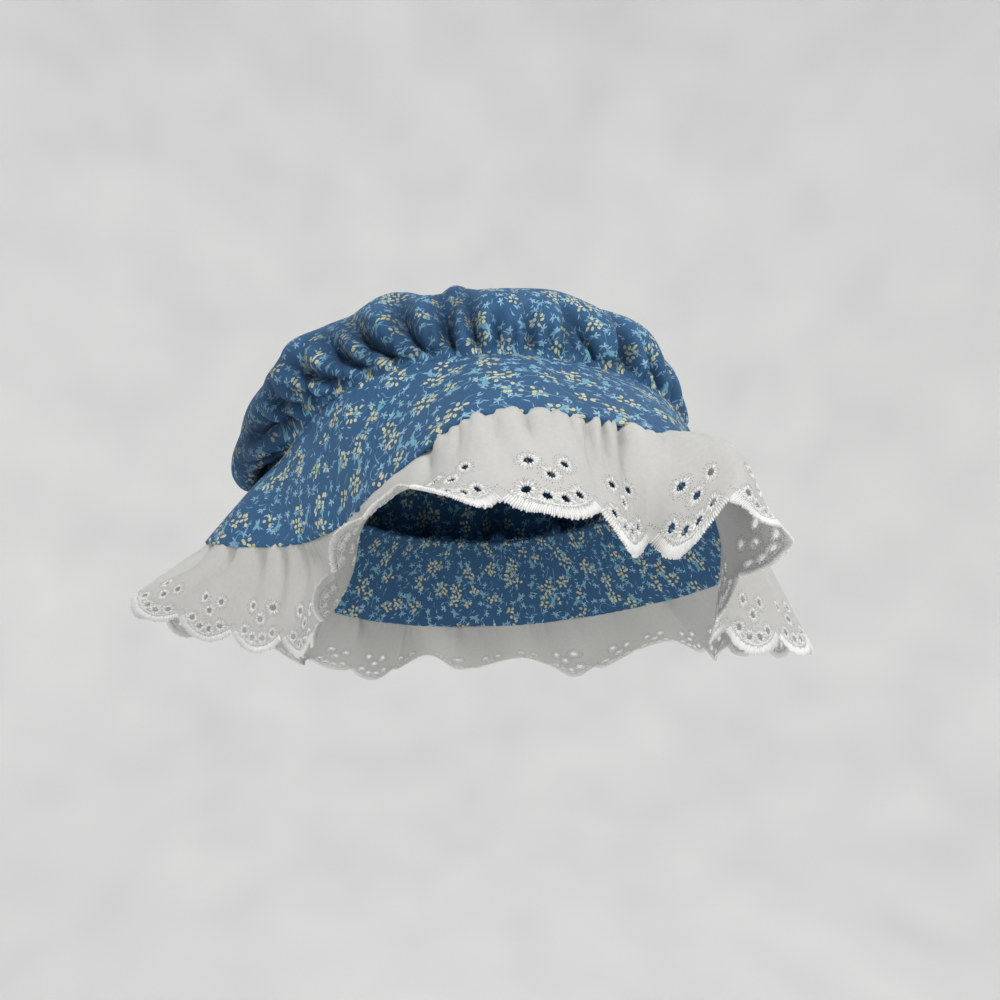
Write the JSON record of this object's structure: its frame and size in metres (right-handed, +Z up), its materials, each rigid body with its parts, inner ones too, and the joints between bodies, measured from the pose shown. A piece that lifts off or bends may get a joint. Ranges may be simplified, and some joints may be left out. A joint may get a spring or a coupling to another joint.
{
  "type": "ruffled sunbonnet",
  "caption": "Mob-cap style sunbonnet with a puffed gathered crown, a flared brim and a scalloped eyelet lace ruffle, kept in the form it has when worn tilted back.",
  "frame": {"origin": "the point under the crown where the top of a head carries the bonnet", "axes": "+Z up, away from the head; -Y to the front of the bonnet; +X to the right of someone who looks at its front"},
  "size_m": [0.311, 0.2791, 0.2291],
  "materials": {
    "crown_cloth": "blue printed cotton",
    "brim_cloth": "blue printed cotton",
    "eyelet_lace": "white embroidered cotton"
  },
  "bodies": {
    "root": {"crown": "crown_cloth", "brim": "brim_cloth", "lace_ruffle": "eyelet_lace"}
  },
  "joints": []
}
